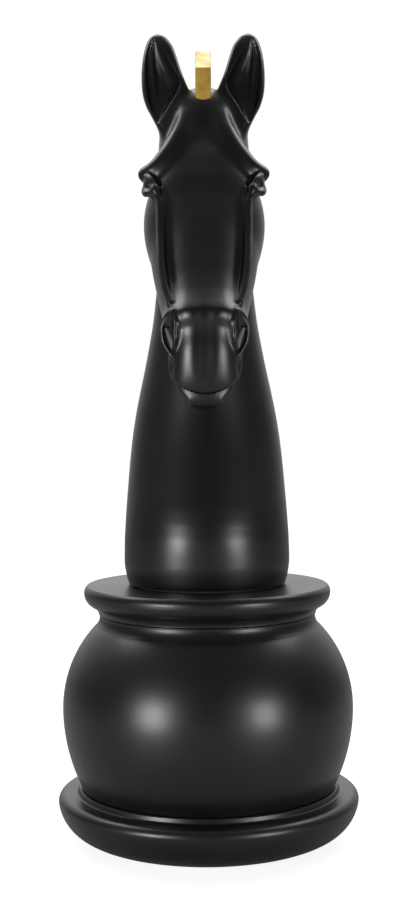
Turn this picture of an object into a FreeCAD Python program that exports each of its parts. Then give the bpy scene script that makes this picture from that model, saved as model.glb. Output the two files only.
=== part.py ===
import FreeCAD, Part
import math
import os
import re
import Sketcher

# Giant lawn-chess knight, 914 mm tall. Z is up, the origin is on the ground at the middle of the
# pedestal and the horse looks along -Y, with its left side at +X. The pedestal is a plinth, a bulb
# weighted with sand and a collar. The horse lifts off it by a spigot, and a threaded plug underneath
# lets the ballast in and out.

SIZES = {
    # plinth
    "pad_height": 3, "underside": 2, "base_radius": 132, "bowl_radius": 41,
    "rim_radius": 172, "rim_height": 44, "rim_edge": 9, "deck_height": 54, "deck_thickness": 8,
    "seat_radius": 147, "seat_height": 60, "ring_inner": 108, "ring_outer": 146, "ring_top": 20,
    "plate_radius": 120, "plate_top": 7, "port_radius": 26, "pad_circle": 98,
    # bulb
    "bulb_foot": 144.5, "bulb_radius": 166, "bulb_height": 150, "bulb_lower_bend": 199,
    "bulb_upper_bend": 134.2, "bulb_neck": 129.5, "bulb_neck_height": 242, "cove_bend": 16,
    "waist_radius": 123.2, "shoulder": 257, "upstand": 111.7, "bulb_wall": 6,
    "bulb_floor_top": 72, "bulb_deck_top": 281.5, "bolt_circle": 100, "ballast_top": 118,
    "ballast_gap": 0.3, "ballast_side": 149,
    # collar and socket
    "collar_top": 289.5, "collar_flat": 137, "lip_radius": 140.7, "lip_height": 281,
    "lip_under": 131, "lip_under_height": 266.5, "lip_bend": 14, "lip_edge": 9,
    "cup_flange": 62, "cup_flange_thickness": 4, "cup_radius": 46, "cup_bore": 40,
    "cup_floor": 236, "cup_floor_thickness": 4, "collar_screw_circle": 74, "cup_screw_circle": 54,
    # fill port
    "bush_bottom": 10, "bush_radius": 23.5, "bush_bore": 18, "bush_flange": 32,
    "bush_flange_thickness": 4, "nut_radius": 34, "nut_height": 8,
    "plug_bottom": 3, "plug_head": 22.5, "plug_head_top": 8.5, "plug_thread": 17.6,
    "plug_thread_top": 18, "plug_slot_length": 30, "plug_slot_width": 6, "plug_slot_top": 6.5,
    # seat between the collar and the horse
    "gasket_inner": 60, "gasket_outer": 84, "gasket_thickness": 1.7, "seat_gap": 0.3,
    "foot_plate_radius": 80, "foot_plate_thickness": 8, "spigot_radius": 39.5,
    "spigot_bore": 33, "spigot_bottom": 245, "flange_bore": 62, "flange_top": 318,
    "foot_screw_circle": 71,
    "key_circle": 70, "key_radius": 5, "key_bottom": 283, "key_clearance": 0.4,
    # horse
    "skull_front": 4, "skull_height": 788, "skull_across": 53, "skull_along": 46,
    "skull_tall": 64, "shell_wall": 5.5, "mane_thickness": 17.5, "mane_height": 27, "mane_notch": 9,
    "mane_teeth": 8, "mane_dowel_radius": 4, "mane_dowel_length": 30,
    "ear_wall": 4, "ear_front": 26, "ear_peg_radius": 8, "ear_peg_bottom": 790,
    "ear_peg_top": 829, "ear_peg_side": 42, "ear_peg_front": 14,
}

# Horizontal rings of the neck, from the foot up: height, half width, front, back. Front and back
# are measured forward of the pedestal's axis.
NECK = (
    (291.5, 89.4, 89.4, -89.4), (318, 94.4, 92.5, -96.5), (360, 93, 84, -102),
    (420, 88.8, 66, -105), (480, 81.3, 54, -102), (540, 69, 47, -95),
    (600, 58.3, 45, -84), (660, 52, 50, -70), (720, 47, 46, -52), (780, 38, 30, -33),
)

# Slanted rings of the head, from the poll to the lips: forward and height of the nose line, forward
# and height of the jaw line, half width.
HEAD = (
    (34, 808, -14, 772, 36), (56, 782, -28, 728, 57), (71, 753, -22, 674, 69),
    (91, 706, -4, 629, 67), (113, 660, 28, 596, 61), (132, 624, 56, 572, 51),
    (148, 590, 76, 546, 46.5), (156, 560, 89, 520, 42), (154, 531, 99, 503, 34),
    (145, 511, 109, 497, 23),
)

# Half rings of an ear behind its flat front, from the root up: height, sideways centre, half width,
# depth.
EAR = (
    (798, 38, 13, 26), (825, 40, 24, 34), (855, 42, 27, 32), (880, 46, 21, 24),
    (900, 50, 11, 12), (914, 51.7, 2.5, 3),
)

# The gold plate's face on the forehead and the top of the crest behind it: forward and height.
MANE_FACE = ((10, 812), (29, 832), (29, 870), (-6, 897))
MANE_TOP = ((16, 856), (-9, 841))

HALF_STEPS = 10
ACROSS = FreeCAD.Vector(1, 0, 0)
FORWARD = FreeCAD.Vector(0, -1, 0)

document = FreeCAD.newDocument("knight")
sheet = document.addObject("Spreadsheet::Sheet", "Sizes")
nodes = []


def fill_sheet():
    """One row per driving size, then the rings of the neck, the head and the ear."""
    rows = dict(SIZES)
    rings = (
        ("neck", NECK, ("height", "width", "front", "back")),
        ("head", HEAD, ("nose_front", "nose_height", "jaw_front", "jaw_height", "width")),
        ("ear", EAR, ("height", "side", "width", "depth")),
    )
    for part, table, columns in rings:
        for number, ring in enumerate(table):
            for column, value in zip(columns, ring):
                rows[f"{part}_{number}_{column}"] = value
    for line, (alias, value) in enumerate(rows.items(), start=1):
        sheet.set(f"A{line}", alias)
        sheet.set(f"B{line}", str(value))
        sheet.setAlias(f"B{line}", alias)
    document.recompute()


def size(alias):
    return float(sheet.get(alias))


def expression(text):
    """Puts the sheet's name before every size in an expression."""
    return re.sub(r"[a-z][a-z_0-9]*", lambda word: "Sizes." + word.group(0), str(text))


def bind(item, prop, text):
    item.setExpression(prop, expression(text))


def node(item, label):
    item.Label = label
    nodes.append(item)
    return item


def origin_feature(body, role):
    return next(item for item in body.Origin.OriginFeatures if item.Role == role)


def sketch_on(body, role, name):
    sketch = body.newObject("Sketcher::SketchObject", name)
    sketch.AttachmentSupport = [(origin_feature(body, role), "")]
    sketch.MapMode = "FlatFace"
    return sketch


def pin_point(sketch, edge, end, across, up):
    """Ties a corner of the sketch to two expressions."""
    for kind, axis, text in (("DistanceX", -2, across), ("DistanceY", -1, up)):
        if abs(float(sketch.evalExpression(expression(text)))) < 1e-6:
            sketch.addConstraint(Sketcher.Constraint("PointOnObject", edge, end, axis))
            continue
        value = float(sketch.evalExpression(expression(text)))
        index = sketch.addConstraint(Sketcher.Constraint(kind, -1, 1, edge, end, value))
        bind(sketch, f"Constraints[{index}]", text)


def arc_middle(start, finish, radius):
    """Middle of the arc from start to finish. A positive radius has its centre on the left."""
    chord = finish - start
    left = FreeCAD.Vector(-chord.y, chord.x, 0).normalize()
    height = math.sqrt(radius ** 2 - (chord.Length / 2) ** 2)
    rise = abs(radius) - height
    return (start + finish) / 2 - left * math.copysign(rise, radius)


def outline(sketch, corners):
    """Closed outline. A corner is (across, up), or (across, up, radius, side) where an arc starts."""
    places = []
    for corner in corners:
        across, up = (float(sketch.evalExpression(expression(text))) for text in corner[:2])
        places.append(FreeCAD.Vector(across, up, 0))
    starts = []
    for number, corner in enumerate(corners):
        start, finish = places[number], places[(number + 1) % len(places)]
        if len(corner) == 2:
            edge = sketch.addGeometry(Part.LineSegment(start, finish))
        else:
            radius = float(sketch.evalExpression(expression(corner[2]))) * corner[3]
            edge = sketch.addGeometry(Part.Arc(start, arc_middle(start, finish, radius), finish))
        begins = sketch.getPoint(edge, 1).distanceToPoint(start) < 1e-4
        starts.append((edge, 1 if begins else 2))
    for number, (edge, end) in enumerate(starts):
        previous, previous_start = starts[number - 1]
        sketch.addConstraint(
            Sketcher.Constraint("Coincident", previous, 3 - previous_start, edge, end))
    for number, (edge, end) in enumerate(starts):
        corner = corners[number]
        pin_point(sketch, edge, end, corner[0], corner[1])
        if len(corner) > 2:
            radius = abs(float(sketch.evalExpression(expression(corner[2]))))
            index = sketch.addConstraint(Sketcher.Constraint("Radius", edge, radius))
            bind(sketch, f"Constraints[{index}]", corner[2])


def turned(name, corners):
    """A body turned about Z from an outline of (radius, height) corners."""
    body = document.addObject("PartDesign::Body", name)
    sketch = sketch_on(body, "XZ_Plane", name + "_outline")
    outline(sketch, corners)
    turn = body.newObject("PartDesign::Revolution", name + "_turn")
    turn.Profile = sketch
    turn.ReferenceAxis = (sketch, ["V_Axis"])
    turn.Angle = 360
    return body


def ring_of(name, count, first_angle, circle, corners):
    """Identical turned pieces, equally spaced on a circle about Z. The corners' radii are the
    distances from each piece's own axis."""
    body = document.addObject("PartDesign::Body", name)
    body.AllowCompound = True
    sketch = sketch_on(body, "XZ_Plane", name + "_outline")
    shifted = [(f"{circle} + ({corner[0]})", corner[1]) for corner in corners]
    outline(sketch, shifted)
    centre = float(sketch.evalExpression(expression(circle)))
    axis = sketch.addGeometry(
        Part.LineSegment(FreeCAD.Vector(centre, -20, 0), FreeCAD.Vector(centre, 20, 0)), True)
    sketch.addConstraint(Sketcher.Constraint("Vertical", axis))
    index = sketch.addConstraint(Sketcher.Constraint("DistanceX", -1, 1, axis, 1, centre))
    bind(sketch, f"Constraints[{index}]", circle)
    turn = body.newObject("PartDesign::Revolution", name + "_turn")
    turn.Profile = sketch
    turn.ReferenceAxis = (sketch, ["Axis0"])
    turn.Angle = 360
    document.recompute()
    pattern = body.newObject("PartDesign::PolarPattern", name + "_ring")
    pattern.Originals = [turn]
    pattern.Axis = (origin_feature(body, "Z_Axis"), [""])
    pattern.Angle = 360
    pattern.Occurrences = count
    body.Tip = pattern
    body.Placement.Rotation = FreeCAD.Rotation(FreeCAD.Vector(0, 0, 1), first_angle)
    return body


def screws(name, count, first_angle, circle, head_face, tip, up=True):
    """Countersunk screws on a circle. Up is true where the point is above the head."""
    shank, head, sink = 2.5, 5, 3
    sign = "+" if up else "-"
    shoulder = f"{head_face} {sign} {sink}"
    return ring_of(name, count, first_angle, circle, [
        (0, head_face), (head, head_face), (shank, shoulder), (shank, tip), (0, tip)])


def cut(name, base, *tools):
    """Base less each tool in turn."""
    for number, tool in enumerate(tools):
        cutter = document.addObject("Part::Cut", f"{name}_cut_{number}")
        cutter.Base = base
        cutter.Tool = tool
        base = cutter
    return base


def fuse(name, *pieces):
    joined = document.addObject("Part::MultiFuse", name)
    joined.Shapes = list(pieces)
    return joined


def post(name, radius, bottom, top, side="0", front="0"):
    """A vertical cylinder, with its axis at (side, -front)."""
    cylinder = document.addObject("Part::Cylinder", name)
    bind(cylinder, "Radius", radius)
    bind(cylinder, "Height", f"{top} - ({bottom})")
    bind(cylinder, "Placement.Base.x", side)
    bind(cylinder, "Placement.Base.y", f"-({front})")
    bind(cylinder, "Placement.Base.z", bottom)
    return cylinder


def build_plinth():
    screw_ring = screws("base_plate_screws", 6, 0, "(ring_inner + plate_radius) / 2",
                        "underside", "ring_top - 2")
    bolts = ring_of("bulb_bolts", 4, 45, "bolt_circle", [
        (0, "deck_height - deck_thickness - 8"), (6.5, "deck_height - deck_thickness - 8"),
        (6.5, "deck_height - deck_thickness - 1.5"), (4, "deck_height - deck_thickness - 1.5"),
        (4, "bulb_floor_top - 2"), (0, "bulb_floor_top - 2")])
    washers = ring_of("bulb_bolt_washers", 4, 45, "bolt_circle", [
        (4, "deck_height - deck_thickness - 1.5"), (9, "deck_height - deck_thickness - 1.5"),
        (9, "deck_height - deck_thickness"), (4, "deck_height - deck_thickness")])
    plinth = turned("plinth_disc", [
        ("plate_radius", "underside"),
        ("base_radius", "underside", "bowl_radius", 1),
        ("rim_radius", "rim_height", "rim_edge", 1),
        ("rim_radius - 8", "deck_height"),
        ("seat_radius + 3", "deck_height", "6", -1),
        ("seat_radius", "seat_height"),
        ("bush_radius", "seat_height"),
        ("bush_radius", "deck_height - deck_thickness"),
        ("rim_radius - 10", "deck_height - deck_thickness", "bowl_radius", -1),
        ("ring_outer", "ring_top"),
        ("ring_inner", "ring_top"),
        ("ring_inner", "plate_top"),
        ("plate_radius", "plate_top")])
    pads = ring_of("foot_pads", 6, 30, "pad_circle", [
        (0, "0"), (10, "0"), (11, "1"), (11, "pad_height"), (0, "pad_height")])
    plate = turned("plate_disc", [
        ("port_radius", "underside"), ("plate_radius", "underside"),
        ("plate_radius", "plate_top"), ("port_radius", "plate_top")])
    node(cut("plinth", plinth, screw_ring, bolts), "plinth")
    node(cut("base_plate", plate, screw_ring, pads), "base_plate")
    node(screw_ring, "base_plate_screws")
    node(pads, "foot_pads")
    node(bolts, "bulb_bolts")
    node(washers, "bulb_bolt_washers")
    return bolts


def build_fill_port():
    node(turned("fill_bush", [
        ("bush_bore", "bush_bottom"), ("bush_radius", "bush_bottom"),
        ("bush_radius", "bulb_floor_top"), ("bush_flange", "bulb_floor_top"),
        ("bush_flange", "bulb_floor_top + bush_flange_thickness"),
        ("bush_bore", "bulb_floor_top + bush_flange_thickness")]), "fill_bush")
    node(turned("bush_nut", [
        ("bush_radius", "deck_height - deck_thickness - nut_height"),
        ("nut_radius", "deck_height - deck_thickness - nut_height"),
        ("nut_radius", "deck_height - deck_thickness"),
        ("bush_radius", "deck_height - deck_thickness")]), "bush_nut")
    node(turned("plug_seal", [
        ("plug_thread + 0.4", "plug_head_top + 0.2"), ("plug_head - 0.5", "plug_head_top + 0.2"),
        ("plug_head - 0.5", "bush_bottom - 0.2"), ("plug_thread + 0.4", "bush_bottom - 0.2")]),
        "plug_seal")
    plug = turned("fill_plug", [
        ("0", "plug_bottom"), ("plug_head - 1", "plug_bottom", "1", 1),
        ("plug_head", "plug_bottom + 1"), ("plug_head", "plug_head_top"),
        ("plug_thread", "plug_head_top"), ("plug_thread", "plug_thread_top"),
        ("0", "plug_thread_top")])
    sketch = sketch_on(plug, "XY_Plane", "coin_slot")
    length, width = "plug_slot_length / 2", "plug_slot_width / 2"
    outline(sketch, [(f"-{length}", f"-{width}"), (length, f"-{width}"),
                     (length, width), (f"-{length}", width)])
    slot = plug.newObject("PartDesign::Pocket", "slot")
    slot.Profile = sketch
    slot.Reversed = True
    bind(slot, "Length", "plug_slot_top")
    node(plug, "fill_plug")


def build_bulb(bolts):
    inner = "bulb_radius - bulb_wall"
    bulb = turned("bulb_pot", [
        ("bush_radius", "seat_height"),
        ("bulb_foot", "seat_height", "bulb_lower_bend", 1),
        ("bulb_radius", "bulb_height", "bulb_upper_bend", 1),
        ("bulb_neck", "bulb_neck_height", "cove_bend", -1),
        ("waist_radius", "shoulder - 1"),
        ("waist_radius", "shoulder"),
        ("upstand", "shoulder"),
        ("upstand", "bulb_deck_top"),
        ("cup_radius", "bulb_deck_top"),
        ("cup_radius", "bulb_deck_top - bulb_wall"),
        ("upstand - bulb_wall", "bulb_deck_top - bulb_wall"),
        ("upstand - bulb_wall", "shoulder + 5"),
        ("bulb_neck - 8", "bulb_neck_height + 3", "bulb_upper_bend - bulb_wall", -1),
        (inner, "bulb_height", "bulb_lower_bend - bulb_wall", -1),
        ("bulb_foot - bulb_wall", "bulb_floor_top"),
        ("bush_radius", "bulb_floor_top")])
    collar_screws = screws("collar_screws", 6, 30, "collar_screw_circle", "collar_top",
                           "bulb_deck_top - 5", up=False)
    cup_screws = screws("socket_screws", 6, 0, "cup_screw_circle", "collar_top",
                        "bulb_deck_top - 5", up=False)
    collar = turned("collar_ring", [
        ("upstand", "shoulder"),
        ("waist_radius + 0.8", "shoulder", "lip_bend", -1),
        ("lip_under", "lip_under_height", "lip_bend + 2", 1),
        ("lip_radius", "lip_height", "lip_edge", 1),
        ("collar_flat", "collar_top"),
        ("cup_flange", "collar_top"),
        ("cup_flange", "collar_top - cup_flange_thickness"),
        ("cup_radius", "collar_top - cup_flange_thickness"),
        ("cup_radius", "bulb_deck_top"),
        ("upstand", "bulb_deck_top")])
    cup = turned("cup", [
        ("0", "cup_floor"), ("cup_radius", "cup_floor"),
        ("cup_radius", "collar_top - cup_flange_thickness"),
        ("cup_flange", "collar_top - cup_flange_thickness"),
        ("cup_flange", "collar_top"), ("cup_bore", "collar_top"),
        ("cup_bore", "cup_floor + cup_floor_thickness"),
        ("0", "cup_floor + cup_floor_thickness")])
    key_holes = ring_of("key_holes", 2, 0, "key_circle", [
        (0, "key_bottom - 1.5"), ("key_radius + key_clearance", "key_bottom - 1.5"),
        ("key_radius + key_clearance", "collar_top + 5"), (0, "collar_top + 5")])
    gasket = turned("gasket_ring", [
        ("gasket_inner", "collar_top"), ("gasket_outer", "collar_top"),
        ("gasket_outer", "collar_top + gasket_thickness"),
        ("gasket_inner", "collar_top + gasket_thickness")])
    node(cut("bulb", bulb, bolts, collar_screws, cup_screws), "bulb")
    node(cut("collar", collar, collar_screws, cup_screws, key_holes), "collar")
    node(cut("socket_cup", cup, cup_screws), "socket_cup")
    node(cut("seat_gasket", gasket, key_holes), "seat_gasket")
    node(collar_screws, "collar_screws")
    node(cup_screws, "socket_screws")
    node(turned("sand_ballast", [
        ("bush_flange + ballast_gap", "bulb_floor_top + ballast_gap"),
        ("bulb_foot - bulb_wall - 1", "bulb_floor_top + ballast_gap"),
        ("ballast_side", "ballast_top"),
        ("0", "ballast_top"),
        ("0", "bulb_floor_top + bush_flange_thickness + 2"),
        ("bush_flange + ballast_gap", "bulb_floor_top + bush_flange_thickness + 2")]),
        "sand_ballast")


def half_ring(centre, across, along, half_across, half_along):
    """Points of one half of an oval, from its front on the middle plane round to its back."""
    points = []
    for step in range(HALF_STEPS + 1):
        angle = math.pi * step / HALF_STEPS
        points.append(centre + across * (half_across * math.sin(angle))
                      + along * (half_along * math.cos(angle)))
    return points


def half_solid(name, rings):
    """A solid through half rings: the smooth side, a flat cap at each end and the flat cut face."""
    rings = list(rings)
    surface = Part.BSplineSurface()
    surface.interpolate(rings)
    side = surface.toShape()
    first = [edge for edge in side.Edges if lies_on(edge, rings[0])]
    last = [edge for edge in side.Edges if lies_on(edge, rings[-1])]
    long_edges = [edge for edge in side.Edges
                  if not lies_on(edge, rings[0]) and not lies_on(edge, rings[-1])]
    ends = [Part.makeLine(ring[0], ring[-1]) for ring in (rings[0], rings[-1])]
    faces = [side, Part.Face(Part.Wire(first + [ends[0]])), Part.Face(Part.Wire(last + [ends[1]]))]
    faces.append(Part.Face(Part.Wire(Part.__sortEdges__(long_edges + ends))))
    shell = Part.Compound(faces)
    shell.sewShape()
    solid = Part.makeSolid(shell.Shells[0] if shell.Shells else shell)
    if solid.Volume < 0:
        solid.reverse()
    item = document.addObject("Part::Feature", name)
    item.Shape = solid
    return item


def lies_on(edge, ring):
    middle = ring[len(ring) // 2]
    return edge.distToShape(Part.Vertex(middle))[0] < 1e-3


def side_point(front, height):
    return FreeCAD.Vector(0, -front, height)


def neck_rings(inset):
    for number in range(1 if inset else 0, len(NECK)):
        height, width, front, back = (
            size(f"neck_{number}_{column}") for column in ("height", "width", "front", "back"))
        if inset and number == len(NECK) - 1:
            height -= 3 * inset
        centre = side_point((front + back) / 2, height)
        yield half_ring(centre, ACROSS, FORWARD, width - inset, (front - back) / 2 - inset)


def head_rings(inset):
    """Rings of the head, or of its hollow, which the neck's and the skull's hollows carry on."""
    rings = range(2, len(HEAD) - 1) if inset else range(len(HEAD))
    for number in rings:
        nose = side_point(size(f"head_{number}_nose_front"), size(f"head_{number}_nose_height"))
        jaw = side_point(size(f"head_{number}_jaw_front"), size(f"head_{number}_jaw_height"))
        along = (nose - jaw).normalize()
        yield half_ring((nose + jaw) / 2, ACROSS, along,
                        size(f"head_{number}_width") - inset, (nose - jaw).Length / 2 - inset)


def ear_rings(inset):
    """Half rings of the left ear, or of the hollow that opens at its flat front."""
    for number in range(1 if inset else 0, len(EAR)):
        height, side, width, depth = (
            size(f"ear_{number}_{column}") for column in ("height", "side", "width", "depth"))
        centre = FreeCAD.Vector(side, -size("ear_front"), height + 1.5 * inset)
        yield half_ring(centre, -FORWARD, ACROSS, max(depth - inset, 1), max(width - inset, 1))


def skull(name, inset):
    """Rounded top of the head, between the ears."""
    ball = document.addObject("Part::Ellipsoid", name)
    bind(ball, "Radius1", f"skull_tall - {inset}")
    bind(ball, "Radius2", f"skull_across - {inset}")
    bind(ball, "Radius3", f"skull_along - {inset}")
    bind(ball, "Placement.Base.y", "-skull_front")
    bind(ball, "Placement.Base.z", "skull_height")
    return ball


def mane_crest():
    """Back line of the neck from the poll down, as a curve in the middle plane."""
    points = [side_point(*place) for place in MANE_TOP]
    for number in range(len(NECK) - 1, 1, -1):
        points.append(side_point(size(f"neck_{number}_back"), size(f"neck_{number}_height")))
    curve = Part.BSplineCurve()
    curve.interpolate(points)
    return curve


def crest_point(curve, share, out):
    """A point at a share of the crest's length, moved out of the neck."""
    first, last = curve.FirstParameter, curve.LastParameter
    place = first + (last - first) * share
    tangent = FreeCAD.Vector(*curve.tangent(place)[0])
    normal = FreeCAD.Vector(0, -tangent.z, tangent.y)
    if normal.y < 0:
        normal = normal * -1
    return curve.value(place) + normal * out, normal


def build_mane(skins):
    """A flat plate on the middle plane: an upright face on the forehead, then a row of locks that
    step down the back of the neck. Dowels hold it to the shells."""
    curve = mane_crest()
    height, notch, teeth = size("mane_height"), size("mane_notch"), int(size("mane_teeth"))
    corners = [side_point(*place) for place in MANE_FACE]
    for tooth in range(teeth):
        start, finish = 0.1 + 0.86 * tooth / teeth, 0.1 + 0.86 * (tooth + 1) / teeth
        taper = 1 - 0.3 * tooth / teeth
        corners.append(crest_point(curve, start + 0.004, height * taper - notch)[0])
        corners.append(crest_point(curve, (start * 3 + finish) / 4, height * taper)[0])
        corners.append(crest_point(curve, finish, (height - notch * 0.35) * taper)[0])
    corners.append(crest_point(curve, 0.985, 0)[0])
    for share in (0.97, 0.75, 0.5, 0.25):
        corners.append(crest_point(curve, share, -14)[0])
    body = document.addObject("PartDesign::Body", "mane_plate")
    sketch = sketch_on(body, "YZ_Plane", "mane_outline")
    for number, corner in enumerate(corners):
        following = corners[(number + 1) % len(corners)]
        edge = sketch.addGeometry(Part.LineSegment(FreeCAD.Vector(corner.y, corner.z, 0),
                                                   FreeCAD.Vector(following.y, following.z, 0)))
        sketch.addConstraint(Sketcher.Constraint("Block", edge))
    pad = body.newObject("PartDesign::Pad", "mane_pad")
    pad.Profile = sketch
    pad.Midplane = True
    bind(pad, "Length", "mane_thickness")
    pins = []
    for number, share in enumerate((0.2, 0.5, 0.8)):
        place, normal = crest_point(curve, share, -size("mane_dowel_length") / 2)
        pin = document.addObject("Part::Cylinder", f"mane_dowel_{number}")
        bind(pin, "Radius", "mane_dowel_radius")
        bind(pin, "Height", "mane_dowel_length")
        pin.Placement = FreeCAD.Placement(
            place, FreeCAD.Rotation(FreeCAD.Vector(0, 0, 1), normal))
        pins.append(pin)
    dowels = document.addObject("Part::Compound", "mane_dowels")
    dowels.Links = pins
    node(cut("mane", body, *skins, dowels), "mane")
    node(dowels, "mane_dowels")
    return dowels


def mirrored(name, source):
    mirror = document.addObject("Part::Mirroring", name)
    mirror.Source = source
    mirror.Normal = (1, 0, 0)
    return mirror


def build_ears(skin):
    """Two leaf-shaped ears, hollow in front, each with a peg through the wall of its shell."""
    leaf = half_solid("ear_leaf", ear_rings(0))
    hollow = half_solid("ear_hollow", ear_rings(size("ear_wall")))
    peg = post("ear_peg", "ear_peg_radius", "ear_peg_bottom", "ear_peg_top",
               "ear_peg_side", "ear_peg_front")
    left = node(fuse("ear", cut("ear_trim", leaf, hollow, skin), peg), "left_ear")
    node(mirrored("ear_mirror", left), "right_ear")
    return peg


def build_foot():
    floor = "collar_top + gasket_thickness + seat_gap"
    top = floor + " + foot_plate_thickness"
    keys = ring_of("key_dowels", 2, 0, "key_circle", [
        (0, "key_bottom"), ("key_radius - 1", "key_bottom"), ("key_radius", "key_bottom + 1"),
        ("key_radius", top), (0, top)])
    plate_screws = screws("foot_plate_screws", 8, 22.5, "foot_screw_circle", floor, "flange_top - 6")
    plate = turned("foot_plate_disc", [
        ("spigot_bore", "spigot_bottom"), ("spigot_radius - 1.5", "spigot_bottom"),
        ("spigot_radius", "spigot_bottom + 4"), ("spigot_radius", floor),
        ("foot_plate_radius", floor), ("foot_plate_radius", top), ("0", top), ("0", floor),
        ("spigot_bore", floor)])
    node(cut("foot_plate", plate, keys, plate_screws), "foot_plate")
    node(keys, "key_dowels")
    node(plate_screws, "foot_plate_screws")
    recess = post("foot_recess", "foot_plate_radius", floor, top)
    bore = post("flange_opening", "flange_bore", top, "flange_top + 1")
    return plate_screws, recess, bore


def build_shells():
    """Two moulded halves, left and right, bonded along the middle plane."""
    half = document.addObject("Part::Box", "left_side")
    half.Length, half.Width, half.Height = 200, 500, 800
    half.Placement.Base = FreeCAD.Vector(0, -250, 200)
    halves = []
    for name, inset in (("skin", 0), ("cavity", size("shell_wall"))):
        top = document.addObject("Part::Common", f"{name}_skull_half")
        top.Base = skull(f"{name}_skull", inset)
        top.Tool = half
        halves.append(fuse(name, half_solid(f"{name}_neck", neck_rings(inset)),
                           half_solid(f"{name}_head", head_rings(inset)), top))
    skin, cavity = halves
    plate_screws, recess, bore = build_foot()
    dowels = build_mane((skin, mirrored("skin_mirror", skin)))
    peg = build_ears(skin)
    shell = cut("shell", skin, cavity, recess, bore, plate_screws, dowels, peg)
    node(shell, "left_shell")
    node(mirrored("shell_mirror", shell), "right_shell")


def check_and_write():
    document.recompute()
    broken = [item.Label for item in document.Objects
              if "Invalid" in item.State or "Error" in item.State]
    if broken:
        raise RuntimeError(f"failed objects: {broken}")
    os.makedirs("parts", exist_ok=True)
    for item in nodes:
        shape = item.Shape
        if shape.isNull() or not shape.isValid() or not shape.Solids:
            raise RuntimeError(f"{item.Label} has no valid shape")
        shape.exportStep(f"parts/{item.Label}.step")
        box = shape.BoundBox
        print(f"{item.Label}: {len(shape.Solids)} solids, {shape.Volume / 1000:.1f} cm3, "
              f"z {box.ZMin:.1f} to {box.ZMax:.1f}")


fill_sheet()
bolts = build_plinth()
build_fill_port()
build_bulb(bolts)
build_shells()
check_and_write()
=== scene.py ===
import math

import bmesh
import bpy
import numpy as np
import openvdb
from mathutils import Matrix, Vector


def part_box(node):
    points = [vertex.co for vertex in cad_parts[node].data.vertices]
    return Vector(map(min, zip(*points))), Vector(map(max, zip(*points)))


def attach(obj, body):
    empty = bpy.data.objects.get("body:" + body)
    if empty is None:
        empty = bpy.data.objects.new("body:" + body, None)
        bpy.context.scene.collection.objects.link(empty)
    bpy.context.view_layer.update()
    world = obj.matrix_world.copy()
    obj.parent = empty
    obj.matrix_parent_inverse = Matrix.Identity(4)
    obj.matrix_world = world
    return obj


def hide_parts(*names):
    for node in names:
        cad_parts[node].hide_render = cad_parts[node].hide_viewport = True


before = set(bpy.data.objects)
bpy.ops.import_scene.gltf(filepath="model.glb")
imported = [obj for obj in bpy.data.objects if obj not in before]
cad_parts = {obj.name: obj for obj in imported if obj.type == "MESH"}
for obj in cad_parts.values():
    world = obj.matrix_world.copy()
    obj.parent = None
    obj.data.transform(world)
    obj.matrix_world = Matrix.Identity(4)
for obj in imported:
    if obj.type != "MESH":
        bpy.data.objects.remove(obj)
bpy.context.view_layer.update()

# The horse is sculpted in millimetres: across is |x|, forward is -y, up is z.
VOXEL = 1.6
MM = 0.001

neck_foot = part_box("left_shell")[0][2] * 1000


def add_object(name, data):
    made = bpy.data.objects.new(name, data)
    bpy.context.collection.objects.link(made)
    return made


# ---------------------------------------------------------------- smooth curves

def smooth_curve(stations, values, places):
    """Monotone cubic through the stations, read at the places."""
    stations, values = np.asarray(stations, float), np.asarray(values, float)
    steps = np.diff(stations)
    slopes = np.diff(values) / steps
    tangents = np.zeros_like(values)
    for i in range(1, len(values) - 1):
        if slopes[i - 1] * slopes[i] > 0:
            before = 2 * steps[i] + steps[i - 1]
            after = steps[i] + 2 * steps[i - 1]
            tangents[i] = (before + after) / (before / slopes[i - 1] + after / slopes[i])
    tangents[0], tangents[-1] = slopes[0], slopes[-1]
    places = np.clip(places, stations[0], stations[-1])
    i = np.clip(np.searchsorted(stations, places) - 1, 0, len(steps) - 1)
    share = (places - stations[i]) / steps[i]
    square, cube = share ** 2, share ** 3
    return ((2 * cube - 3 * square + 1) * values[i]
            + (cube - 2 * square + share) * steps[i] * tangents[i]
            + (3 * square - 2 * cube) * values[i + 1]
            + (cube - square) * steps[i] * tangents[i + 1])


# ---------------------------------------------------------------- distance fields

ROD_REACH = 26    # how far past a rod's points its field is worked out
FAR = 60.0        # the field's value beyond that
MIN_SLOPE = 1e-4  # keeps the division finite at a shape's centre


def blend_union(a, b, soft):
    """a and b together, with a fillet about soft wide where they meet."""
    share = np.clip(0.5 + 0.5 * (b - a) / soft, 0, 1)
    return b + (a - b) * share - soft * share * (1 - share)


def blend_cut(a, tool, soft):
    """a less the tool, with the edge softened."""
    return -blend_union(-a, tool, soft)


def ellipsoid(grid, centre, radii, turn=None):
    """turn is an axis pair and an angle in degrees, such as ("fz", 20)."""
    across, forward, up = (axis - middle for axis, middle in zip(grid, centre))
    if turn:
        names, angle = turn
        axes = {"x": across, "f": forward, "z": up}
        c, s = math.cos(math.radians(angle)), math.sin(math.radians(angle))
        first, second = axes[names[0]], axes[names[1]]
        axes[names[0]], axes[names[1]] = c * first + s * second, c * second - s * first
        across, forward, up = axes["x"], axes["f"], axes["z"]
    a, b, c = radii
    length = np.sqrt((across / a) ** 2 + (forward / b) ** 2 + (up / c) ** 2)
    steep = np.sqrt((across / a ** 2) ** 2 + (forward / b ** 2) ** 2 + (up / c ** 2) ** 2)
    return length * (length - 1) / np.maximum(steep, MIN_SLOPE)


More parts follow.
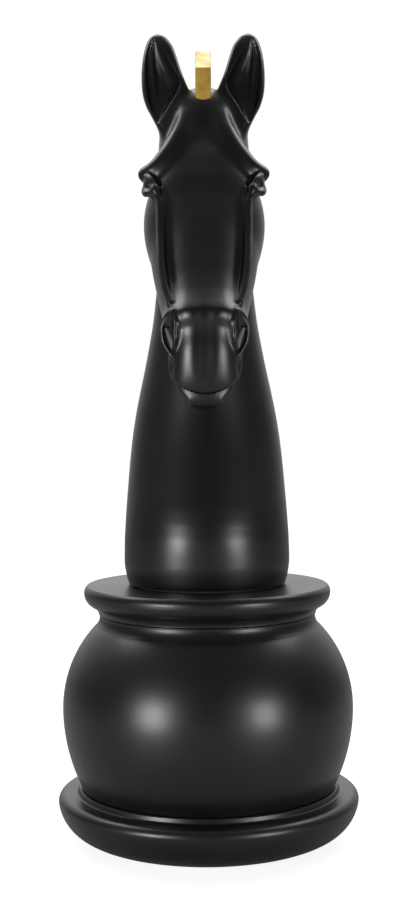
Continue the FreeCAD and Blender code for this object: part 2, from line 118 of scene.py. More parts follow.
def rod(grid, points, radii, steps=7):
    """A smooth tapered rod through the points, with FAR beyond ROD_REACH of them."""
    stations = np.arange(len(points))
    places = np.linspace(0, len(points) - 1, (len(points) - 1) * steps + 1)
    columns = np.array([(*point, radius) for point, radius in zip(points, radii)], float).T
    knots = np.stack([smooth_curve(stations, column, places) for column in columns], axis=1)
    near = np.ones(grid[0].shape, bool)
    for axis, column in zip(grid, knots.T):
        near &= (axis > column.min() - ROD_REACH) & (axis < column.max() + ROD_REACH)
    here = [axis[near] for axis in grid]
    distance = np.full(here[0].shape, FAR)
    for first, last in zip(knots, knots[1:]):
        along = last[:3] - first[:3]
        share = sum((axis - place) * step for axis, place, step in zip(here, first, along))
        share = np.clip(share / max(float(along @ along), 1e-9), 0, 1)
        gap = sum((axis - place - share * step) ** 2
                  for axis, place, step in zip(here, first, along))
        distance = np.minimum(distance, np.sqrt(gap) - (first[3] + (last[3] - first[3]) * share))
    field = np.full(grid[0].shape, FAR)
    field[near] = distance
    return field


# ---------------------------------------------------------------- neck and head sections

# Each section is: height, half width, front, back.
NECK = np.array([
    (270, 80, 80, -80), (283, 85, 84, -85), (291.5, 89.4, 87, -89.4), (302, 92.4, 89.5, -92.5),
    (318, 94.4, 92, -96), (344, 93.9, 93.6, -100), (360, 93.0, 91.8, -102), (378, 91.9, 87.5, -103),
    (399, 90.3, 80, -104), (426, 88.2, 70.5, -105), (453, 85.4, 62, -104.5), (481, 81.3, 55.5, -102),
    (508, 76, 51, -99), (535, 70.2, 47.5, -95.5), (563, 64.6, 46, -91), (590, 59.8, 46, -85.5),
    (617, 56.4, 47, -79.5),
    (660, 52, 50, -70), (720, 47, 46, -52), (780, 38, 30, -33),
])
NECK_LOW, NECK_HIGH = 285, 775

# Sections of the head square to the nose line. Each is: distance down the nose line, then
# (half width, height above that line) at the flat of the nose, the crest, the widest place and the
# jaw, with the top and the bottom of the middle line first.
HEAD = np.array([
    (-5, -15, -66, 19, -17, 32, -26, 35, -38, 28, -56),
    (18, -5, -88, 25, -7, 41, -21, 46, -42, 40, -70),
    (45, -0.5, -105, 29, -2.5, 47, -15, 53, -42, 47, -78),
    (72, 0, -112, 29, -2, 50, -15, 59, -42, 55, -84),
    (100, -1.5, -117, 25, -4, 48, -18, 62.5, -52, 58, -90),
    (130, -2, -119, 21, -4, 46, -22, 61, -64, 55, -98),
    (160, -2.3, -114, 19, -4, 45, -26, 57, -70, 47, -98),
    (190, -2, -104, 18, -4, 43, -27, 51.5, -66, 40, -92),
    (215, -0.5, -96, 18, -2, 40.5, -25, 47, -60, 35, -84),
    (228, 1.5, -92, 18, 0.5, 39, -21, 44.5, -54, 33, -81),
    (240, 3.5, -89, 18, 4.5, 39, -12, 43, -46, 32, -78),
    (247, 5.5, -88, 18, 7, 39, -8, 41.5, -44, 31, -77),
    (253, 4, -86.5, 18, 2, 35, -13, 38, -44, 30, -76),
    (262, -5, -85, 17, -7, 32, -18, 35, -42, 29, -75),
    (281, -14.5, -83, 17, -16, 30, -26, 33.5, -46, 28, -72),
    (298, -25, -80, 16, -27, 30, -37, 36, -52, 28, -70),
    (312, -36, -77, 14, -38, 27, -46, 32.5, -56, 25, -68),
    (320, -46, -74, 10, -47.5, 20, -51, 23, -58, 18, -66),
    (325.5, -58, -64, 2, -58.5, 3, -59.5, 3.5, -61, 2.5, -62.5),
])
NOSE_TOP = (40.0, 812.0)
NOSE_DOWN = np.array((0.4455, -0.8953))
NOSE_OUT = np.array((0.8953, 0.4455))
ANGLE_STEPS = 180
STATION_STEP = 1.0
ROW_SPREAD, COLUMN_SPREAD = 6, 5
HEAD_SLOPE = 0.93    # the difference of radii overstates the distance, as the sections taper


def soften(table, rows, columns):
    """Gaussian smoothing, with the table mirrored at its edges."""
    for axis, spread in ((0, rows), (1, columns)):
        reach = 3 * spread
        weights = np.exp(-0.5 * (np.arange(-reach, reach + 1) / spread) ** 2)
        weights /= weights.sum()
        pad = [(0, 0), (0, 0)]
        pad[axis] = (reach, reach)
        padded = np.pad(table, pad, mode="reflect")
        table = np.apply_along_axis(lambda line: np.convolve(line, weights, "valid"), axis, padded)
    return table


def head_table():
    """Radius of the section about its own middle, by distance down the nose and by angle from the
    top. The angle runs from 0 at the nose line to 180 at the jaw line."""
    first, last = HEAD[0, 0], HEAD[-1, 0]
    places = np.arange(first, last + STATION_STEP / 2, STATION_STEP)
    columns = [smooth_curve(HEAD[:, 0], HEAD[:, k], places) for k in range(1, HEAD.shape[1])]
    top, bottom = columns[0], columns[1]
    middle = (top + bottom) / 2
    angles = np.linspace(0, math.pi, ANGLE_STEPS + 1)
    table = np.zeros((len(places), len(angles)))
    for row in range(len(places)):
        x = np.array([0] + [columns[k][row] for k in (2, 4, 6, 8)] + [0])
        m = np.array([top[row]] + [columns[k][row] for k in (3, 5, 7, 9)] + [bottom[row]])
        m = m - middle[row]
        at = np.arctan2(x, m)
        radius = np.hypot(x, m)
        order = np.argsort(at)
        at, radius = at[order], radius[order]
        # mirrored ends keep the section smooth over the middle plane
        at = np.concatenate((-at[2:0:-1], at, 2 * math.pi - at[-2:-4:-1]))
        radius = np.concatenate((radius[2:0:-1], radius, radius[-2:-4:-1]))
        table[row] = smooth_curve(at, radius, angles)
    return places, middle, soften(table, ROW_SPREAD, COLUMN_SPREAD)


def read_table(places, table, along, angle):
    """The table's radius between its rows and columns."""
    row = np.clip((along - places[0]) / STATION_STEP, 0, len(places) - 1.001)
    column = np.clip(angle / math.pi * ANGLE_STEPS, 0, ANGLE_STEPS - 0.001)
    i, j = row.astype(int), column.astype(int)
    di, dj = row - i, column - j
    return ((1 - di) * ((1 - dj) * table[i, j] + dj * table[i, j + 1])
            + di * ((1 - dj) * table[i + 1, j] + dj * table[i + 1, j + 1]))


def head_field(grid):
    across, forward, up = grid
    along = (forward - NOSE_TOP[0]) * NOSE_DOWN[0] + (up - NOSE_TOP[1]) * NOSE_DOWN[1]
    out = (forward - NOSE_TOP[0]) * NOSE_OUT[0] + (up - NOSE_TOP[1]) * NOSE_OUT[1]
    places, middle, table = head_table()
    centre = np.interp(along, places, middle)
    angle = np.arctan2(across, out - centre)
    reach = np.hypot(across, out - centre)
    distance = (reach - read_table(places, table, along, angle)) * HEAD_SLOPE
    beyond = np.maximum(places[0] - along, along - places[-1])
    return np.maximum(distance, beyond)


def neck_field(grid):
    across, forward, up = grid
    width, front, back = (smooth_curve(NECK[:, 0], NECK[:, k], up) for k in (1, 2, 3))
    depth, centre = (front - back) / 2, (front + back) / 2
    share = np.sqrt((across / width) ** 2 + ((forward - centre) / depth) ** 2)
    steep = np.sqrt((across / width ** 2) ** 2 + ((forward - centre) / depth ** 2) ** 2)
    side = share * (share - 1) / np.maximum(steep, MIN_SLOPE)
    return np.maximum(side, np.maximum(up - NECK_HIGH, NECK_LOW - up))


# ---------------------------------------------------------------- the ear

# The ear's outline and its hollow's: height, inner edge, outer edge, depth.
EAR = np.array([
    (790, 26, 44, 12), (804, 24, 51, 17), (817.5, 18, 57.7, 20), (832, 15, 64.9, 22),
    (845.5, 16, 68.5, 22), (857, 20, 69.6, 21), (866, 23.5, 69.7, 20), (879, 27.5, 69, 18),
    (888, 30.2, 67.8, 15), (898, 33.8, 65.6, 11), (905, 38.1, 63.2, 8), (910, 42.6, 59.5, 5.5),
    (913, 48.5, 54.5, 2.5),
])
EAR_HOLLOW = np.array([
    (811, 49.5, 52.5, 1.5), (818, 45, 56, 4), (828, 39.5, 59.5, 7.5), (838, 33, 62, 11),
    (846, 28, 63, 13), (854, 26, 64, 15), (868, 32, 64.3, 15),
    (885, 41, 63.5, 12), (897, 47, 61, 8), (904, 50.5, 58.5, 5), (908, 53.5, 56, 2),
])
EAR_FRONT = 20.0
EAR_TURN, EAR_LEAN = 0.25, 0.10    # outward by width, and back by height
EAR_MIDDLE, EAR_HALF_WIDTH, EAR_BULGE = 44, 22, 2.5


def tube_field(table, across, forward, up, front):
    """An upright tube with oval sections, from a table of height, two edges and half depth."""
    inner, outer, depth = (smooth_curve(table[:, 0], table[:, k], up) for k in (1, 2, 3))
    width, centre = (outer - inner) / 2, (outer + inner) / 2
    share = np.sqrt(((across - centre) / width) ** 2 + ((forward - front) / depth) ** 2)
    side = (share - 1) * np.minimum(width, depth)
    return np.maximum(side, np.maximum(up - table[-1, 0], table[0, 0] - up))


def ear_field(grid):
    across, forward, up = grid
    # the opening faces forward and a little outward, and leans back towards the tip
    skewed = forward + (across - 45) * EAR_TURN + (up - 850) * EAR_LEAN
    leaf = tube_field(EAR, across, skewed, up, EAR_FRONT - 6)
    bulge = EAR_BULGE * np.cos(np.clip((across - EAR_MIDDLE) / EAR_HALF_WIDTH, -1.5, 1.5))
    face = skewed - EAR_FRONT - 2 - bulge
    leaf = blend_cut(leaf, -face, 5)
    hollow = tube_field(EAR_HOLLOW, across, skewed, up, EAR_FRONT + 3)
    ear = blend_cut(leaf, hollow, 2.0)
    folds = (
        ([(57, 9, 900), (58, 7, 885), (57, 6, 862), (54, 8, 843)], (0.6, 2.4, 3.4, 3.0)),
        ([(52, 6, 900), (49.5, 3, 882), (45, 2, 862), (42.5, 5, 846), (43, 10, 838)],
         (0.6, 2.6, 4.2, 5.0, 3.0)),
        ([(38, 6, 876), (34, 5, 862), (33, 7, 848)], (0.5, 2.2, 3.0)),
    )
    for points, radii in folds:
        ear = blend_union(ear, rod(grid, points, radii), 2.2)
    return ear


# ---------------------------------------------------------------- the whole horse

RECESS_RADIUS, RECESS_HIGH = 80.3, 299.8    # the room in the neck's foot for the foot plate


def horse_field(grid):
    across, forward, up = grid
    head = head_field(grid)
    head = blend_union(head, ellipsoid(grid, (0, 2, 790), (50, 40, 64)), 16)
    head = blend_union(head, ellipsoid(grid, (31, 22, 694), (34, 44, 50)), 14)
    head = brow_and_eye(grid, head)
    head = muzzle(grid, head)
    horse = blend_union(head, neck_field(grid), 14)
    horse = blend_union(horse, ear_field(grid), 7)
    recess = np.maximum(np.hypot(across, forward) - RECESS_RADIUS, up - RECESS_HIGH)
    return np.maximum(horse, -recess)


def brow_and_eye(grid, head):
    brow = rod(grid, [(16, 27, 828), (20, 37, 809), (28, 45, 789), (40, 49, 770.5), (53.5, 50, 757),
                      (64.3, 46, 749.5)], (5, 8, 9.5, 9, 7.8, 8.5))
    head = blend_union(head, brow, 15)
    # the socket below the brow
    head = blend_cut(head, ellipsoid(grid, (66, 66, 737), (9, 13, 8.5)), 5)
    eye = ellipsoid(grid, (57, 51, 737.5), (10, 14, 10.5))
    head = blend_union(head, eye, 1.2)
    lower_lid = rod(grid, [(53, 71, 729), (58, 66, 726.5), (63, 57, 727.5), (64.5, 46, 731),
                           (61, 34, 737)], (2.4, 3.6, 4.6, 4.8, 4.0))
    upper_lid = rod(grid, [(53, 71, 730), (57, 67, 740), (61, 58, 745), (64, 46, 745),
                           (61, 34, 741)], (2.0, 2.6, 3.2, 3.8, 3.6))
    head = blend_union(head, upper_lid, 4)
    head = blend_union(head, lower_lid, 5)
    # the crest runs from the eye's inner corner down to the nostril
    crest = rod(grid, [(52, 70, 729), (48, 78, 708), (47.5, 89, 680), (46.5, 103, 652),
                       (43, 118, 624), (37, 132, 602)], (3, 4.4, 4.6, 4.6, 4.2, 3))
    return blend_union(head, crest, 9)


MOUTH_BACK = 104
LIP_LOW, LIP_RISE, LIP_FRONT = 505.5, 0.30, 144    # the mouth line at the front, and its rise backward
LIP_BOW, LIP_HALF_WIDTH = 9, 32                    # how far its corners stand above its middle
LOWER_LIP_FRONT, LOWER_LIP_CURVE = 133, 0.010
LIP_GAP = 2.2


def muzzle(grid, head):
    across, forward, up = grid
    wing = rod(grid, [(34, 140, 594), (41, 135, 586), (45, 132, 574), (43.5, 131, 562),
                      (38, 133, 551), (33.5, 135, 543)], (2.2, 2.6, 2.6, 2.6, 2.4, 2.0))
    head = blend_union(head, wing, 5)
    front_rim = rod(grid, [(33, 144, 592), (30.5, 148, 580), (30.5, 148, 567), (33.5, 142, 553)],
                    (2.2, 2.4, 2.4, 2.0))
    head = blend_union(head, front_rim, 5)
    nostril = rod(grid, [(36, 145, 585), (38.5, 142, 577), (39, 141, 568), (36.5, 141, 557)],
                  (2.2, 4.4, 4.4, 2.4))
    head = blend_cut(head, nostril, 2.0)
    groove = rod(grid, [(0, 164, 590), (0, 163, 556), (0, 160, 528)], (5, 6, 6))
    head = blend_cut(head, groove, 12)
    corner = rod(grid, [(36, 131, 548), (35.5, 126, 538), (33, 124, 527), (29, 126, 518)],
                 (2.0, 3.6, 3.4, 2.2))
    head = blend_union(head, corner, 5)

    # the mouth drops from its corners to the middle, over a lower lip set back from the upper one
    lip_line = (LIP_LOW + LIP_RISE * (LIP_FRONT - forward)
                + LIP_BOW * (across / LIP_HALF_WIDTH) ** 2)
    mouth = np.maximum(up - lip_line, MOUTH_BACK - forward)
    whole = head
    head = blend_cut(whole, mouth, 3.5)
    lower_lip = blend_cut(whole + 0.4, LOWER_LIP_FRONT - LOWER_LIP_CURVE * across ** 2 - forward, 10)
    lower_lip = np.maximum(lower_lip, up - lip_line + LIP_GAP)
    return blend_union(head, lower_lip, 1.5)


GRID_LOW, GRID_HIGH = (-3 * VOXEL, -112, 284), (102, 166, 918)
BAND_VOXELS = 8       # the field is kept this far each side of the surface
SNAP_ROUNDS = 3
SNAP_STEP = 0.6       # the most a point moves in a round, in voxels
CAP_CORNERS = 5       # a face with more corners than this is a flat cap


def sculpt(field, low, high, voxel):
    """Quads on the field's zero level, as points in millimetres, moved onto it exactly."""
    axes = [np.arange(a, b + voxel, voxel, dtype=np.float32) for a, b in zip(low, high)]
    grid = np.meshgrid(*axes, indexing="ij")
    grid[0] = np.abs(grid[0])
    values = field(grid).astype(np.float32)
    band = BAND_VOXELS * voxel
    values = np.clip(values, -band, band)
    volume = openvdb.FloatGrid(band)
    volume.copyFromArray(values)
    points, quads = volume.convertToQuads()
    points = np.asarray(points, np.float64)
    gradient = np.gradient(values)

    def read(array, places):
        i = np.clip(places.astype(int), 0, np.array(array.shape) - 2)
        d = places - i
        total = 0
        for corner in np.ndindex(2, 2, 2):
            weight = np.prod(np.where(corner, d, 1 - d), axis=1)
            total = total + weight * array[tuple((i + corner).T)]
        return total

    for _ in range(SNAP_ROUNDS):
        slope = np.stack([read(g, points) for g in gradient], axis=1)
        length = np.maximum((slope ** 2).sum(axis=1), 1e-6)
        move = read(values, points)[:, None] * slope / length[:, None]
        points -= np.clip(move, -SNAP_STEP, SNAP_STEP)
    return points * voxel + np.array(low), np.asarray(quads)


def field_normals(field, places, reach=0.9):
    """Outward directions at the places, which are across, forward and up in millimetres."""
    def read(shift):
        moved = places + shift
        return field([np.abs(moved[:, 0]), moved[:, 1], moved[:, 2]])

    slope = np.stack([read(step) - read(-step) for step in np.eye(3) * reach], axis=1)
    return slope / np.maximum(np.linalg.norm(slope, axis=1, keepdims=True), 1e-9)


def horse_half(name, side):
    """One side of the horse, cut flat on the middle plane and at the neck's foot. side is 1 or -1."""
    points, quads = sculpt(horse_field, GRID_LOW, GRID_HIGH, VOXEL)
    mesh = bpy.data.meshes.new(name)
    places = np.stack((points[:, 0] * side, -points[:, 1], points[:, 2]), axis=1) * MM
    mesh.from_pydata(places.tolist(), [], quads.tolist())
    mesh.validate()
    work = bmesh.new()
    work.from_mesh(mesh)
    for place, normal in (((0, 0, 0), (-side, 0, 0)), ((0, 0, neck_foot * MM), (0, 0, -1))):
        geometry = work.verts[:] + work.edges[:] + work.faces[:]
        cut = bmesh.ops.bisect_plane(work, geom=geometry, plane_co=place, plane_no=normal,
                                     clear_outer=True, dist=1e-6)
        rim = [item for item in cut["geom_cut"] if isinstance(item, bmesh.types.BMEdge)]
        bmesh.ops.holes_fill(work, edges=rim, sides=0)
    bmesh.ops.recalc_face_normals(work, faces=work.faces[:])
    for face in work.faces:
        face.smooth = len(face.verts) <= CAP_CORNERS
    work.to_mesh(mesh)
    work.free()
    # the two halves share their normals on the middle plane, so that no seam shows
    places = np.empty(len(mesh.vertices) * 3)
    mesh.vertices.foreach_get("co", places)
    places = places.reshape(-1, 3) * (1 / MM, -1 / MM, 1 / MM)
    normals = field_normals(horse_field, places) * (1, -1, 1)
    loops = np.empty(len(mesh.loops), np.int32)
    mesh.loops.foreach_get("vertex_index", loops)
    corner_normals = normals[loops]
    for face in mesh.polygons:
        if not face.use_smooth:
            corner_normals[face.loop_start:face.loop_start + face.loop_total] = face.normal
    mesh.normals_split_custom_set(corner_normals.tolist())
    return add_object(name, mesh)


# ---------------------------------------------------------------- materials

def material(name):
    made = bpy.data.materials.new(name)
    made.use_nodes = True
    nodes = made.node_tree.nodes
    shader = next(node for node in nodes if node.type == "BSDF_PRINCIPLED")
    return made, nodes, made.node_tree.links, shader


def noise(nodes, links, scale, detail=4.0, stretch=None, roughness=0.5):
    """Noise in the piece's own space, with the scale in features per metre."""
    place = nodes.new("ShaderNodeTexCoord")
    texture = nodes.new("ShaderNodeTexNoise")
    texture.inputs["Scale"].default_value = scale
    texture.inputs["Detail"].default_value = detail
    texture.inputs["Roughness"].default_value = roughness
    source = place.outputs["Object"]
    if stretch:
        mapping = nodes.new("ShaderNodeMapping")
        mapping.inputs["Scale"].default_value = stretch
        links.new(source, mapping.inputs["Vector"])
        source = mapping.outputs["Vector"]
    links.new(source, texture.inputs["Vector"])
    return texture


def remap(nodes, links, source, low, high, new_low, new_high):
    change = nodes.new("ShaderNodeMapRange")
    change.inputs["From Min"].default_value = low
    change.inputs["From Max"].default_value = high
    change.inputs["To Min"].default_value = new_low
    change.inputs["To Max"].default_value = new_high
    links.new(source, change.inputs["Value"])
    return change.outputs["Result"]


def colour_ramp(nodes, links, source, stops):
    ramp = nodes.new("ShaderNodeValToRGB")
    while len(ramp.color_ramp.elements) < len(stops):
        ramp.color_ramp.elements.new(0.5)
    for element, (place, colour) in zip(ramp.color_ramp.elements, stops):
        element.position = place
        element.color = (*colour, 1)
    links.new(source, ramp.inputs["Fac"])
    return ramp.outputs["Color"]


def bump(nodes, links, height, distance, strength, under=None):
    relief = nodes.new("ShaderNodeBump")
    relief.inputs["Distance"].default_value = distance
    relief.inputs["Strength"].default_value = strength
    links.new(height, relief.inputs["Height"])
    if under:
        links.new(under, relief.inputs["Normal"])
    return relief.outputs["Normal"]


def satin_black(name, dark, pale, rough, grain):
    """Satin-painted moulding: near black, with faint smudges and a fine orange-peel surface."""
    made, nodes, links, shader = material(name)
    smudge = noise(nodes, links, 9, 5)
    links.new(colour_ramp(nodes, links, smudge.outputs["Fac"],
                          ((0.3, (dark,) * 3), (0.75, (pale, pale, pale * 1.06)))),
              shader.inputs["Base Color"])
    links.new(remap(nodes, links, smudge.outputs["Fac"], 0.3, 0.7, rough - 0.025, rough + 0.03),
              shader.inputs["Roughness"])
    peel = noise(nodes, links, 420, 2)
    wave = noise(nodes, links, 34, 2)
    soft = bump(nodes, links, wave.outputs["Fac"], 0.0008, 0.12)
    links.new(bump(nodes, links, peel.outputs["Fac"], 0.00012, grain, soft), shader.inputs["Normal"])
    shader.inputs["IOR"].default_value = 1.5
    return made


def gold_leaf(name):
    """Leaf laid by hand: overlapping patches, worn thin at places, over a fine wrinkled ground."""
    made, nodes, links, shader = material(name)
    patches = noise(nodes, links, 85, 6, roughness=0.62)
    links.new(colour_ramp(nodes, links, patches.outputs["Fac"],
                          ((0.25, (0.33, 0.17, 0.025)), (0.45, (0.50, 0.29, 0.05)),
                           (0.6, (0.60, 0.37, 0.08)), (0.8, (0.74, 0.50, 0.15)))),
              shader.inputs["Base Color"])
    links.new(remap(nodes, links, patches.outputs["Fac"], 0.3, 0.7, 0.5, 0.3),
              shader.inputs["Roughness"])
    shader.inputs["Metallic"].default_value = 0.35
    wrinkles = noise(nodes, links, 260, 6)
    links.new(bump(nodes, links, wrinkles.outputs["Fac"], 0.0006, 0.5), shader.inputs["Normal"])
    return made


def plain(name, colours, rough, metallic=0.0, scale=120, relief=0.0002, stretch=None):
    made, nodes, links, shader = material(name)
    grain = noise(nodes, links, scale, 5, stretch)
    links.new(colour_ramp(nodes, links, grain.outputs["Fac"], ((0.3, colours[0]), (0.7, colours[1]))),
              shader.inputs["Base Color"])
    links.new(remap(nodes, links, grain.outputs["Fac"], 0.3, 0.7, rough - 0.06, rough + 0.08),
              shader.inputs["Roughness"])
    shader.inputs["Metallic"].default_value = metallic
    links.new(bump(nodes, links, grain.outputs["Fac"], relief, 0.5), shader.inputs["Normal"])
    return made


def dress(nodes_named, made):
    for name in nodes_named:
        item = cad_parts[name]
        item.data.materials.clear()
        item.data.materials.append(made)


# ---------------------------------------------------------------- turned pieces

TURNED_SHARP = 32    # degrees between faces that still look smooth


def bend(start, finish, radius, steps=14):
    """Points of an arc after start, up to finish. A positive radius has its centre on the left."""
    (x0, y0), (x1, y1) = start, finish
    dx, dy = x1 - x0, y1 - y0
    chord = math.hypot(dx, dy)
    rise = math.sqrt(max(radius ** 2 - chord ** 2 / 4, 0))
    side = math.copysign(1, radius)
    cx = (x0 + x1) / 2 - dy / chord * rise * side
    cy = (y0 + y1) / 2 + dx / chord * rise * side
    first, last = math.atan2(y0 - cy, x0 - cx), math.atan2(y1 - cy, x1 - cx)
    turn = (last - first + math.pi) % (2 * math.pi) - math.pi
    return [(cx + abs(radius) * math.cos(first + turn * k / steps),
             cy + abs(radius) * math.sin(first + turn * k / steps)) for k in range(1, steps + 1)]


def profile(corners):
    """Corners are (radius, height), or (radius, height, bend) where an arc leads to the next."""
    points = []
    for number, corner in enumerate(corners):
        following = corners[(number + 1) % len(corners)]
        points.append(corner[:2])
        if len(corner) > 2:
            points += bend(corner[:2], following[:2], corner[2])[:-1]
    return points


def turned(name, corners, segments=192):
    """The profile turned about the upright axis."""
    points = profile(corners)
    vertices, faces = [], []
    count = len(points)
    for k in range(segments):
        angle = 2 * math.pi * k / segments
        vertices += [(r * MM * math.cos(angle), r * MM * math.sin(angle), z * MM) for r, z in points]
    for k in range(segments):
        following = (k + 1) % segments
        for i in range(count):
            j = (i + 1) % count
            faces.append((k * count + i, following * count + i, following * count + j, k * count + j))
    mesh = bpy.data.meshes.new(name)
    mesh.from_pydata(vertices, [], faces)
    piece = add_object(name, mesh)
    for face in mesh.polygons:
        face.use_smooth = True
    mesh.set_sharp_from_angle(angle=math.radians(TURNED_SHARP))
    return piece


def build_pedestal(made):
    plinth = turned("plinth_disc", [
        (120, 2), (123, 3), (131, 4.5, 45), (172, 44, 9.5), (163.5, 54), (151.5, 54, -2.2),
        (149.3, 56), (148.4, 58.8, 1.3), (147.2, 60), (23.5, 60), (23.5, 46), (162, 46, -41),
        (146, 20), (108, 20), (108, 7), (120, 7)])
    bulb = turned("bulb_pot", [
        (23.5, 60), (143, 60, 2), (145, 61.5, 199), (166, 150, 134.2), (129.5, 242, -16),
        (123.2, 255.2, 0.9), (122.3, 256.4), (112, 256.4), (111.7, 281.5), (46, 281.5),
        (46, 275.5), (105.7, 275.5), (105.7, 262), (121.5, 245, -128), (160, 150, -193),
        (138.5, 72), (23.5, 72)], 224)
    collar = turned("collar_ring", [
        (111.9, 257), (123.4, 257, 0.8), (124.2, 258, -13), (131, 266.5, 16), (140.7, 281, 9),
        (137.6, 288.9, 1.4), (136.4, 289.5), (62, 289.5), (62, 285.5), (46, 285.5), (46, 281.5),
        (111.9, 281.5)], 224)
    for piece, node in ((plinth, "plinth"), (bulb, "bulb"), (collar, "collar")):
        piece.data.materials.append(made)
        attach(piece, "pedestal")
        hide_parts(node)


# ---------------------------------------------------------------- the mane

MANE_LINE = np.array([(16, 856), (-9, 841), (-33, 780), (-52, 720), (-70, 660), (-84, 600),
                      (-95, 540), (-102, 480), (-105, 420), (-102, 360)], float)
MANE_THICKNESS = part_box("mane")[1][0] * 2
MANE_FACE = [(10, 812), (31, 831), (30, 870), (-6, 897)]
MANE_TEETH = 8
TEETH_START, TEETH_SPAN = 0.1, 0.86    # shares of the line's length
TOOTH_OUT, TOOTH_NOTCH, TOOTH_SLOPE = 27, 9, 3.2
TOOTH_TAPER = 0.3
MANE_ROOT = -14
MANE_SHARP = 40


def mane_outline():
    """Forward and height of the plate's edge, from the forehead over the poll and down the neck."""
    steps = np.concatenate(((0,), np.cumsum(np.hypot(*np.diff(MANE_LINE, axis=0).T))))
    length = steps[-1]

    def at(share, out):
        """A share of the way down the line, moved out from it."""
        here = [float(smooth_curve(steps, MANE_LINE[:, k], share * length)) for k in (0, 1)]
        near = [float(smooth_curve(steps, MANE_LINE[:, k], share * length + 2)) for k in (0, 1)]
        along = np.array(near) - np.array(here)
        along /= np.linalg.norm(along)
        return (here[0] + along[1] * out, here[1] - along[0] * out)

    edge = list(MANE_FACE)
    for tooth in range(MANE_TEETH):
        start = TEETH_START + TEETH_SPAN * tooth / MANE_TEETH
        finish = TEETH_START + TEETH_SPAN * (tooth + 1) / MANE_TEETH
        taper = 1 - TOOTH_TAPER * tooth / MANE_TEETH
        edge.append(at(start + 0.004, TOOTH_OUT * taper - TOOTH_NOTCH))
        edge.append(at((start * 3 + finish) / 4, TOOTH_OUT * taper))
        edge.append(at(finish, (TOOTH_OUT - TOOTH_SLOPE) * taper))
    edge.append(at(0.985, -2))
    edge += [at(share, MANE_ROOT) for share in (0.95, 0.75, 0.5, 0.25)]
    return edge


def build_mane(made):
    edge = mane_outline()
    mesh = bpy.data.meshes.new("mane_plate")
    work = bmesh.new()
    half = MANE_THICKNESS / 2
    near = [work.verts.new((half, -f * MM, z * MM)) for f, z in edge]
    face = work.faces.new(near)
    grown = bmesh.ops.extrude_face_region(work, geom=[face])
    for item in grown["geom"]:
        if isinstance(item, bmesh.types.BMVert):
            item.co.x = -half
    bmesh.ops.recalc_face_normals(work, faces=work.faces[:])
    bmesh.ops.bevel(work, geom=work.edges[:] + work.verts[:], offset=0.0014, segments=3,
                    profile=0.6, affect="EDGES", clamp_overlap=True)
    for face in work.faces:
        face.smooth = True
    work.to_mesh(mesh)
    work.free()
    mesh.set_sharp_from_angle(angle=math.radians(MANE_SHARP))
    mesh.materials.append(made)
    piece = add_object("mane_plate", mesh)
    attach(piece, "horse")
    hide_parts("mane")


# ---------------------------------------------------------------- assembly

black = satin_black("satin_black", dark=0.0030, pale=0.0054, rough=0.34, grain=0.25)
build_pedestal(black)
build_mane(gold_leaf("gold_leaf"))

for name, side, nodes_replaced in (("left_half", 1, ("left_shell", "left_ear")),
                                   ("right_half", -1, ("right_shell", "right_ear"))):
    skin = horse_half(name, side)
    skin.data.materials.append(black)
    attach(skin, "horse")
    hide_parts(*nodes_replaced)

dress(("foot_pads", "seat_gasket", "plug_seal"),
      plain("moulded_rubber", ((0.012,) * 3, (0.02,) * 3), 0.75, scale=700))
dress(("base_plate",), plain("base_plate_plastic", ((0.016,) * 3, (0.026,) * 3), 0.6, scale=500))
dress(("fill_bush", "bush_nut", "socket_cup", "foot_plate"),
      plain("inner_plastic", ((0.055,) * 3, (0.085,) * 3), 0.5, scale=400))
dress(("fill_plug",), plain("plug_plastic", ((0.03,) * 3, (0.05,) * 3), 0.42, scale=400))
dress(("base_plate_screws", "bulb_bolts", "bulb_bolt_washers", "collar_screws", "socket_screws",
       "foot_plate_screws"),
      plain("zinc_steel", ((0.42, 0.42, 0.43), (0.6, 0.6, 0.6)), 0.32, 1.0, 300, 0.00005))
dress(("key_dowels", "mane_dowels"),
      plain("beech", ((0.42, 0.27, 0.14), (0.58, 0.40, 0.22)), 0.6, scale=160, stretch=(1, 1, 0.12)))
dress(("sand_ballast",),
      plain("sand", ((0.42, 0.33, 0.2), (0.7, 0.6, 0.42)), 0.9, scale=900, relief=0.0008))


# ---------------------------------------------------------------- camera, floor and light

def stage_material(name, colour, glow, glow_seen):
    """A matt floor that looks brighter to the camera than it is in reflections."""
    made, nodes, links, shader = material(name)
    shader.inputs["Base Color"].default_value = (*colour, 1)
    shader.inputs["Roughness"].default_value = 0.9
    shader.inputs["Emission Color"].default_value = (1, 1, 1, 1)
    path = nodes.new("ShaderNodeLightPath")
    links.new(remap(nodes, links, path.outputs["Is Camera Ray"], 0, 1, glow, glow_seen),
              shader.inputs["Emission Strength"])
    return made


def plane(name, corners, made):
    mesh = bpy.data.meshes.new(name)
    mesh.from_pydata(corners, [], [(0, 1, 2, 3)])
    mesh.materials.append(made)
    piece = add_object(name, mesh)


FLOOR_REACH = 6
plane("floor", [(x * FLOOR_REACH, y * FLOOR_REACH, 0) for x, y in ((-1, -1), (1, -1), (1, 1), (-1, 1))],
      stage_material("floor_paint", (0.28,) * 3, glow=0.07, glow_seen=0.88))

DISTANCE, EYE_HEIGHT, AIM_HEIGHT, ASIDE = 1.65, 0.4955, 0.444, 0.0022
LENS_MM, ROLL_DEGREES = 57.86, -0.45
camera_data = bpy.data.cameras.new("camera")
camera_data.lens = LENS_MM
camera = add_object("camera", camera_data)
camera.location = (ASIDE, -DISTANCE, EYE_HEIGHT)
look = Vector((ASIDE, 0, AIM_HEIGHT)) - camera.location
camera.rotation_euler = look.to_track_quat("-Z", "Y").to_euler()
camera.rotation_euler.rotate_axis("Z", math.radians(ROLL_DEGREES))
bpy.context.scene.camera = camera


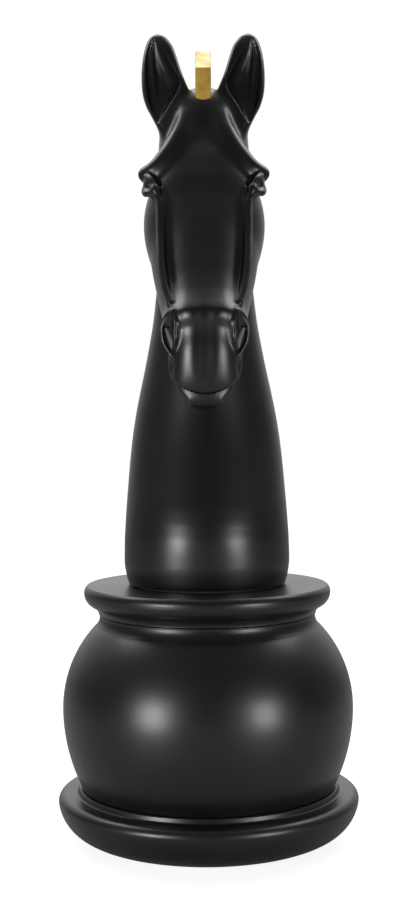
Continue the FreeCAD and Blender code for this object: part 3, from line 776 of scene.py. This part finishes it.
def softbox(name, place, target, width, height, power):
    data = bpy.data.lights.new(name, "AREA")
    data.shape = "RECTANGLE"
    data.size, data.size_y, data.energy = width, height, power
    lamp = add_object(name, data)
    lamp.location = place
    lamp.rotation_euler = (Vector(target) - Vector(place)).to_track_quat("-Z", "Y").to_euler()


# name, place, target, width and height in metres, power in watts
SOFTBOXES = (
    ("left_box", (-1.25, -1.45, 0.22), (0, 0, 0.30), 0.55, 0.8, 28),
    ("right_box", (1.30, -1.45, 0.22), (0, 0, 0.30), 0.55, 0.8, 20),
    ("top_box", (0, 0.6, 2.2), (0, 0, 0.6), 1.6, 0.8, 16),
    ("high_left_box", (-1.1, 0.45, 1.75), (0, 0, 0.75), 0.7, 0.7, 8),
    ("high_right_box", (1.1, 0.45, 1.75), (0, 0, 0.75), 0.7, 0.7, 8),
)
for box in SOFTBOXES:
    softbox(*box)

# Brightness by the direction's height plus its reach behind the object.
LEAN_LIMIT = 1.44
ROOM_STOPS = ((0.0, 0.01), (0.5, 0.05), (0.74, 0.12), (0.805, 0.30), (0.90, 0.48), (0.97, 1.0))
ROOM_STRENGTH = 1.7


def studio_world():
    """A white backdrop behind the object, and a dim room in front of it."""
    world = bpy.data.worlds.new("studio")
    world.use_nodes = True
    nodes, links = world.node_tree.nodes, world.node_tree.links
    background = nodes["Background"]
    place = nodes.new("ShaderNodeTexCoord")
    split = nodes.new("ShaderNodeSeparateXYZ")
    links.new(place.outputs["Generated"], split.inputs["Vector"])
    lean = nodes.new("ShaderNodeMath")
    lean.operation = "ADD"
    links.new(split.outputs["Z"], lean.inputs[0])
    links.new(split.outputs["Y"], lean.inputs[1])
    depth = remap(nodes, links, lean.outputs["Value"], -LEAN_LIMIT, LEAN_LIMIT, 0, 1)
    behind = colour_ramp(nodes, links, depth, [(stop, (grey,) * 3) for stop, grey in ROOM_STOPS])
    path = nodes.new("ShaderNodeLightPath")
    seen = nodes.new("ShaderNodeMath")
    seen.operation = "MAXIMUM"
    links.new(remap(nodes, links, behind, 0, 1, 0, ROOM_STRENGTH), seen.inputs[0])
    links.new(path.outputs["Is Camera Ray"], seen.inputs[1])
    background.inputs["Color"].default_value = (1, 1, 1, 1)
    links.new(seen.outputs["Value"], background.inputs["Strength"])
    bpy.context.scene.world = world


studio_world()
bpy.context.scene.view_settings.view_transform = "Standard"
